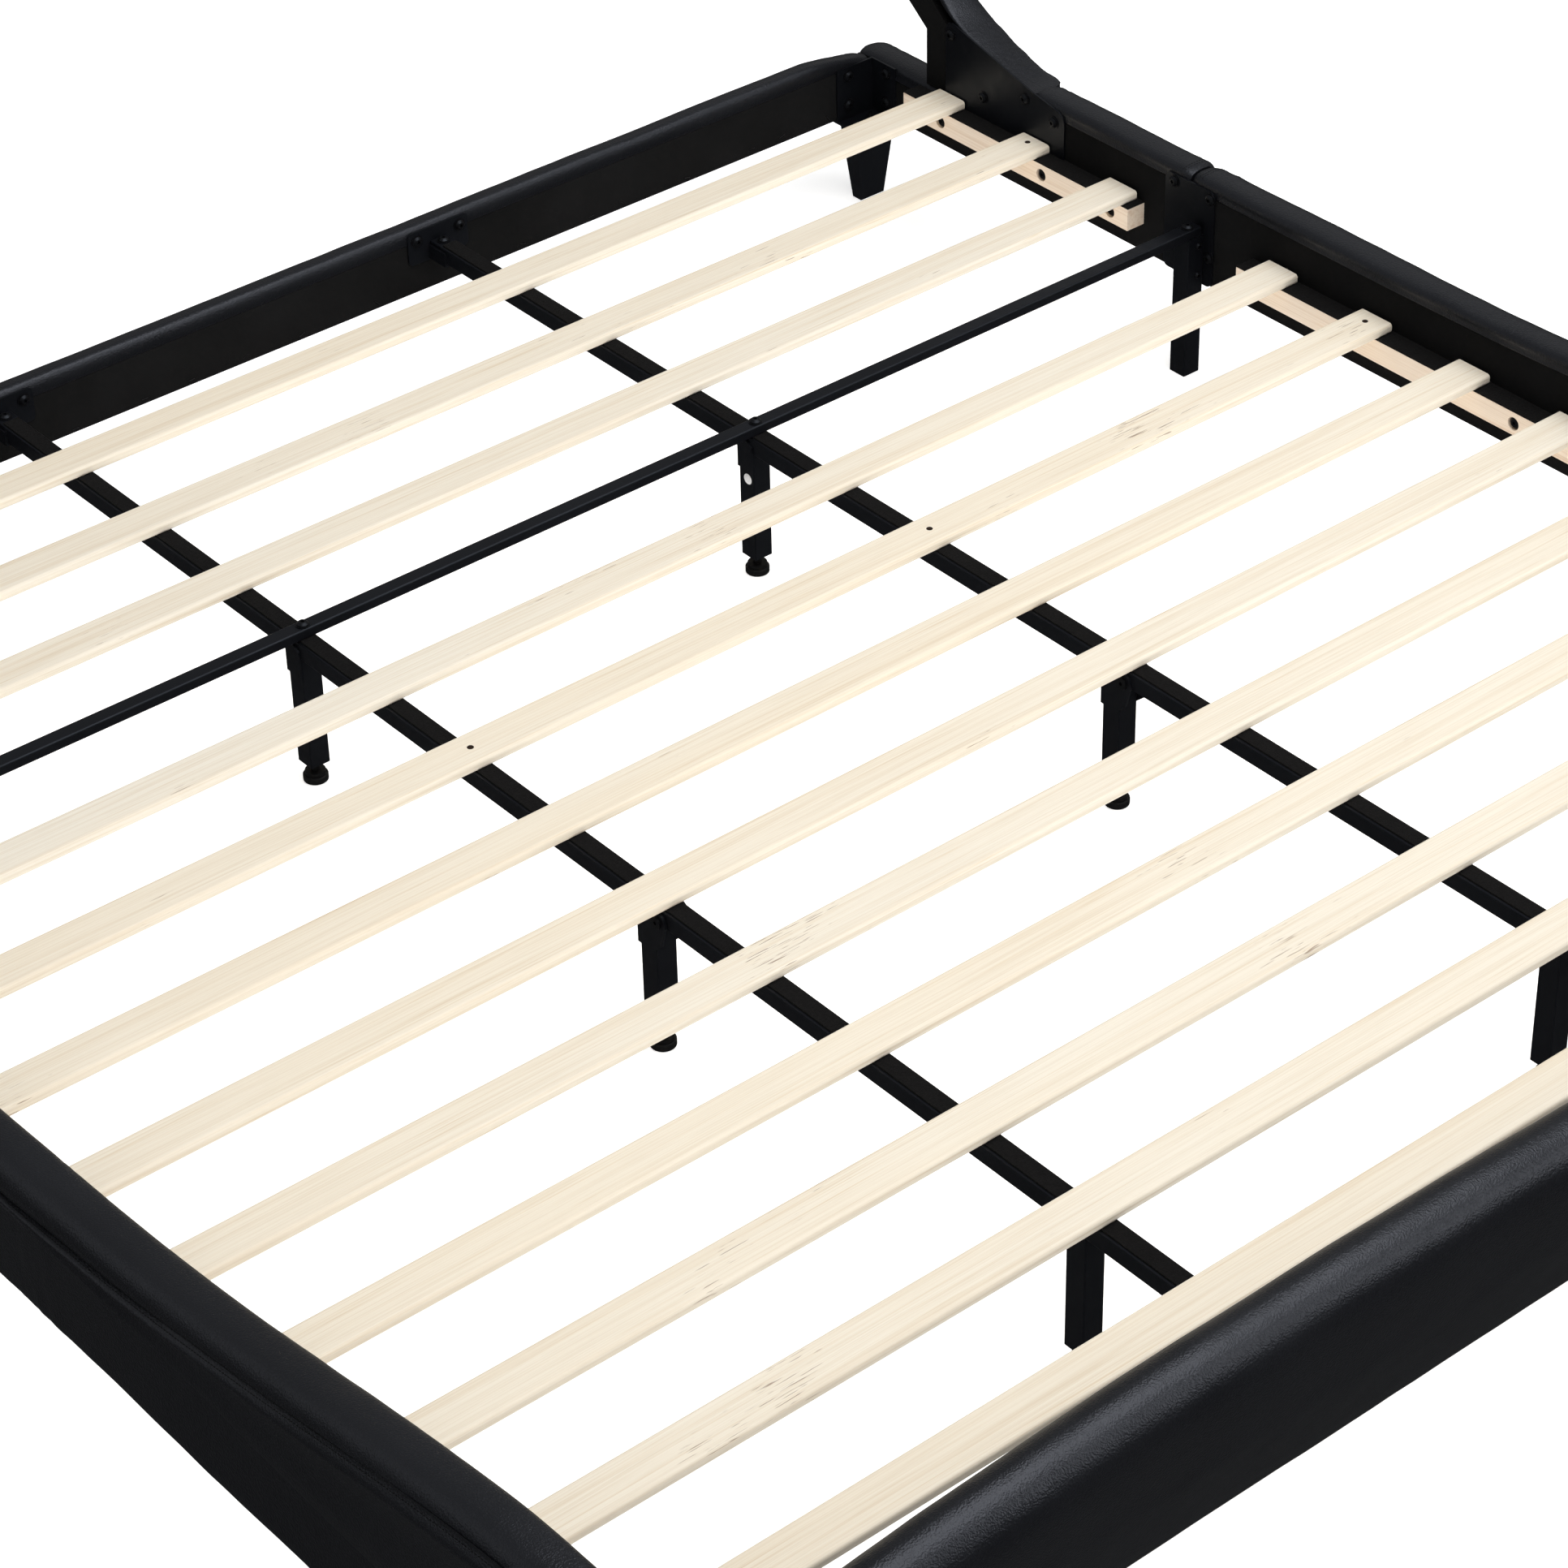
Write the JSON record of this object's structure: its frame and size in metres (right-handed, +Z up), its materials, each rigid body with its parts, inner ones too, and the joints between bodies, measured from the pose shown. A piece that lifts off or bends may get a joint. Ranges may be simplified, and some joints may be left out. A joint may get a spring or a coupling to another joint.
{
  "type": "sleigh bed",
  "caption": "Padded sleigh bed frame with sweeping side rails, curled head wings, slatted base and folding steel centre legs.",
  "frame": {"origin": "on the floor under the middle of the whole bed", "axes": "+Z up, +Y towards the head end, +X across the bed to the right-hand rail"},
  "size_m": [2.056, 2.2602, 0.7827],
  "materials": {
    "leather_black": "soft satin pebbled faux leather",
    "lining_black": "matt black lining cloth over board",
    "pine_pale": "planed pale pine, satin",
    "pine_bare": "sawn bare pine, matt",
    "felt_grey": "coarse dark felt",
    "steel_black": "black powder coat, satin",
    "bolt_black": "black oxide, satin",
    "foot_plastic": "black moulded plastic, matt"
  },
  "bodies": {
    "frame": {"beam_felt_strips": "felt_grey", "beam_hangers": "steel_black", "beam_left": "steel_black", "beam_right": "steel_black", "cleat_bolts": "bolt_black", "cleat_felt_strips": "felt_grey", "cleat_front_left": "pine_bare", "cleat_front_right": "pine_bare", "cleat_rear_left": "pine_bare", "cleat_rear_right": "pine_bare", "corner_brackets": "steel_black", "corner_legs": "steel_black", "crossbar": "steel_black", "crossbar_bolts": "bolt_black", "foot_board_pad": "leather_black", "foot_board_panel": "lining_black", "foot_leg_left": "steel_black", "foot_leg_right": "steel_black", "front_rail_board_left": "lining_black", "front_rail_board_right": "lining_black", "front_rail_pad_left": "leather_black", "front_rail_pad_right": "leather_black", "gusset_plates": "steel_black", "head_leg_left": "steel_black", "head_leg_right": "steel_black", "head_rail_board": "lining_black", "head_rail_pad": "leather_black", "joint_plates": "steel_black", "mid_leg_pins": "bolt_black", "plate_bolts": "bolt_black", "rear_rail_board_left": "lining_black", "rear_rail_board_right": "lining_black", "rear_rail_pad_left": "leather_black", "rear_rail_pad_right": "leather_black", "side_leg_left": "steel_black", "side_leg_right": "steel_black", "slat_01": "pine_pale", "slat_02": "pine_pale", "slat_03": "pine_pale", "slat_04": "pine_pale", "slat_05": "pine_pale", "slat_06": "pine_pale", "slat_07": "pine_pale", "slat_08": "pine_pale", "slat_09": "pine_pale", "slat_10": "pine_pale", "slat_11": "pine_pale", "slat_12": "pine_pale", "wing_board_left": "lining_black", "wing_board_right": "lining_black", "wing_pad_left": "leather_black", "wing_pad_right": "leather_black"},
    "mid_leg_left": {"mid_leg_left": "steel_black"},
    "mid_leg_right": {"mid_leg_right": "steel_black"},
    "levelling_foot_head_left": {"levelling_foot_head_left": "foot_plastic"},
    "levelling_foot_head_right": {"levelling_foot_head_right": "foot_plastic"},
    "levelling_foot_mid_left": {"levelling_foot_mid_left": "foot_plastic"},
    "levelling_foot_mid_right": {"levelling_foot_mid_right": "foot_plastic"},
    "levelling_foot_foot_left": {"levelling_foot_foot_left": "foot_plastic"},
    "levelling_foot_foot_right": {"levelling_foot_foot_right": "foot_plastic"}
  },
  "joints": [
    {"name": "mid_leg_fold_left", "type": "hinge", "parent": "frame", "child": "mid_leg_left", "pos_m": [-0.302, -0.2035, 0.168], "axis": [1, 0, 0], "range_deg": [-84, 0]},
    {"name": "mid_leg_fold_right", "type": "hinge", "parent": "frame", "child": "mid_leg_right", "pos_m": [0.302, -0.2035, 0.168], "axis": [1, 0, 0], "range_deg": [-84, 0]},
    {"name": "foot_screw_head_left", "type": "slide", "parent": "frame", "child": "levelling_foot_head_left", "axis": [0, 0, 1], "range_m": [0, 0.008]},
    {"name": "foot_screw_head_right", "type": "slide", "parent": "frame", "child": "levelling_foot_head_right", "axis": [0, 0, 1], "range_m": [0, 0.008]},
    {"name": "foot_screw_mid_left", "type": "slide", "parent": "mid_leg_left", "child": "levelling_foot_mid_left", "axis": [0, 0, 1], "range_m": [0, 0.008]},
    {"name": "foot_screw_mid_right", "type": "slide", "parent": "mid_leg_right", "child": "levelling_foot_mid_right", "axis": [0, 0, 1], "range_m": [0, 0.008]},
    {"name": "foot_screw_foot_left", "type": "slide", "parent": "frame", "child": "levelling_foot_foot_left", "axis": [0, 0, 1], "range_m": [0, 0.008]},
    {"name": "foot_screw_foot_right", "type": "slide", "parent": "frame", "child": "levelling_foot_foot_right", "axis": [0, 0, 1], "range_m": [0, 0.008]}
  ]
}
